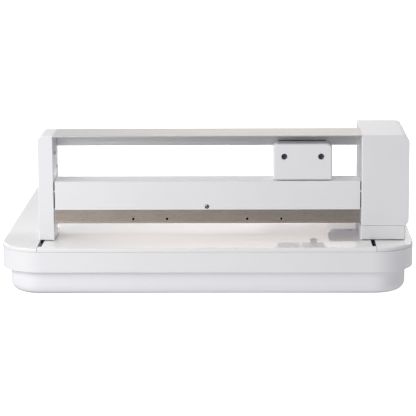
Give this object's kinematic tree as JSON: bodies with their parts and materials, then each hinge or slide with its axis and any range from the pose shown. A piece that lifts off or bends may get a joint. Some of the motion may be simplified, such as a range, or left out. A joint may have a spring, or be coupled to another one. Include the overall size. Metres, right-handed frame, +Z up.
{
  "type": "embroidery machine",
  "caption": "Desktop embroidery machine: a wide low base, a bridge that travels front to back on two slots, and a carriage on its rail that holds the hoop.",
  "frame": {"origin": "middle of the base's footprint, on the surface that the feet stand on", "axes": "+X to the operator's right along the crossbar, +Y away from the operator along the slots, +Z up"},
  "size_m": [0.594, 0.56, 0.226],
  "materials": {
    "base_plastic": "satin white moulded plastic",
    "deck_plastic": "polished white plastic",
    "bridge_plastic": "satin white moulded plastic",
    "carriage_plastic": "satin white moulded plastic",
    "rail_aluminium": "satin anodised extrusion",
    "strip_metal": "brushed along its length, brown-grey",
    "frame_steel": "zinc-plated sheet",
    "frame_black": "steel sheet with a matt black coat",
    "rod_steel": "ground and polished rod",
    "screw_steel": "nickel-plated",
    "arm_metal": "pale grey paint",
    "pulley_aluminium": "turned",
    "bush_brass": "sintered bronze",
    "black_plastic": "glass-filled nylon",
    "belt_rubber": "ribbed belt",
    "feet_rubber": "soft black rubber",
    "motor_metal": "black painted steel and cast end caps",
    "board_resin": "solder mask"
  },
  "bodies": {
    "base": {"base_tray": "base_plastic", "base_body": "base_plastic", "centre_deck": "deck_plastic", "left_side_cover": "deck_plastic", "right_side_cover": "deck_plastic", "rubber_feet": "feet_rubber", "base_screws": "screw_steel", "y_rods": "rod_steel", "rod_supports": "black_plastic", "shaft_bearings": "black_plastic", "y_idler_brackets": "frame_steel", "y_belts": "belt_rubber", "y_motor": "motor_metal", "motor_bracket": "frame_steel", "drive_belt": "belt_rubber", "board_standoffs": "bush_brass", "control_board": "board_resin", "power_supply": "frame_steel", "power_inlet": "black_plastic", "usb_port": "screw_steel", "switch_housing": "black_plastic"},
    "bridge": {"left_leg_cover": "bridge_plastic", "leg_screws": "screw_steel", "left_leg_frame": "frame_black", "right_tower_frame": "frame_black", "right_tower_cover": "bridge_plastic", "right_tower_skirt": "bridge_plastic", "top_rail": "rail_aluminium", "crossbar_beam": "rail_aluminium", "beam_strip": "strip_metal", "crossbar_cover": "bridge_plastic", "crossbar_screw": "screw_steel", "x_guide_rod": "rod_steel", "x_belt": "belt_rubber", "x_motor": "motor_metal", "home_plate": "frame_steel", "plate_screws": "screw_steel", "home_sensor": "black_plastic", "left_slider": "black_plastic", "right_slider": "black_plastic", "y_belt_clamps": "black_plastic"},
    "carriage": {"carriage_cover": "carriage_plastic", "hoop_sockets": "black_plastic", "carriage_arm": "arm_metal", "arm_bracket": "arm_metal", "bush_block": "arm_metal", "arm_screws": "screw_steel", "rail_glide": "black_plastic", "guide_bushes": "bush_brass", "belt_clamp": "pulley_aluminium", "adjuster_post": "screw_steel"},
    "x_drive": {"x_drive_pulley": "pulley_aluminium"},
    "x_idler": {"x_idler_pulley": "pulley_aluminium"},
    "y_shaft": {"y_cross_shaft": "rod_steel", "y_drive_pulleys": "pulley_aluminium", "shaft_wheel": "pulley_aluminium"},
    "y_idler_l": {"y_idler_left": "pulley_aluminium"},
    "y_idler_r": {"y_idler_right": "pulley_aluminium"},
    "y_rotor": {"y_motor_pulley": "pulley_aluminium"},
    "rocker": {"switch_rocker": "black_plastic"}
  },
  "joints": [
    {"name": "bridge_travel", "type": "slide", "parent": "base", "child": "bridge", "axis": [0, 1, 0], "range_m": [-0.035, 0.335]},
    {"name": "carriage_travel", "type": "slide", "parent": "bridge", "child": "carriage", "axis": [1, 0, 0], "range_m": [-0.314, 0]},
    {"name": "x_drive_spin", "type": "hinge", "parent": "bridge", "child": "x_drive", "pos_m": [0.246, -0.166, 0.144], "axis": [0, 1, 0], "range_deg": [-2952, 2]},
    {"name": "x_idler_spin", "type": "hinge", "parent": "bridge", "child": "x_idler", "pos_m": [-0.234, -0.166, 0.144], "axis": [0, 1, 0], "range_deg": [-2952, 2]},
    {"name": "y_shaft_spin", "type": "hinge", "parent": "base", "child": "y_shaft", "pos_m": [0, 0.235, 0.044], "axis": [-1, 0, 0], "range_deg": [-236, 2234]},
    {"name": "y_idler_l_spin", "type": "hinge", "parent": "base", "child": "y_idler_l", "pos_m": [-0.228, -0.245, 0.044], "axis": [-1, 0, 0], "range_deg": [-236, 2234]},
    {"name": "y_idler_r_spin", "type": "hinge", "parent": "base", "child": "y_idler_r", "pos_m": [0.228, -0.245, 0.044], "axis": [-1, 0, 0], "range_deg": [-236, 2234]},
    {"name": "y_motor_spin", "type": "hinge", "parent": "base", "child": "y_rotor", "pos_m": [0.063, 0.19, 0.03], "axis": [-1, 0, 0], "range_deg": [-589, 5616]},
    {"name": "power_switch", "type": "hinge", "parent": "base", "child": "rocker", "pos_m": [-0.128, 0.2744, 0.052], "axis": [0, 0, 1], "range_deg": [-24, 0]}
  ],
  "couplings": [
    {"joint": "x_drive_spin", "follows": "carriage_travel", "rad_per_m": 163.93},
    {"joint": "x_idler_spin", "follows": "carriage_travel", "rad_per_m": 163.93},
    {"joint": "y_shaft_spin", "follows": "bridge_travel", "rad_per_m": 116.28},
    {"joint": "y_idler_l_spin", "follows": "bridge_travel", "rad_per_m": 116.28},
    {"joint": "y_idler_r_spin", "follows": "bridge_travel", "rad_per_m": 116.28},
    {"joint": "y_motor_spin", "follows": "bridge_travel", "rad_per_m": 292.46}
  ]
}
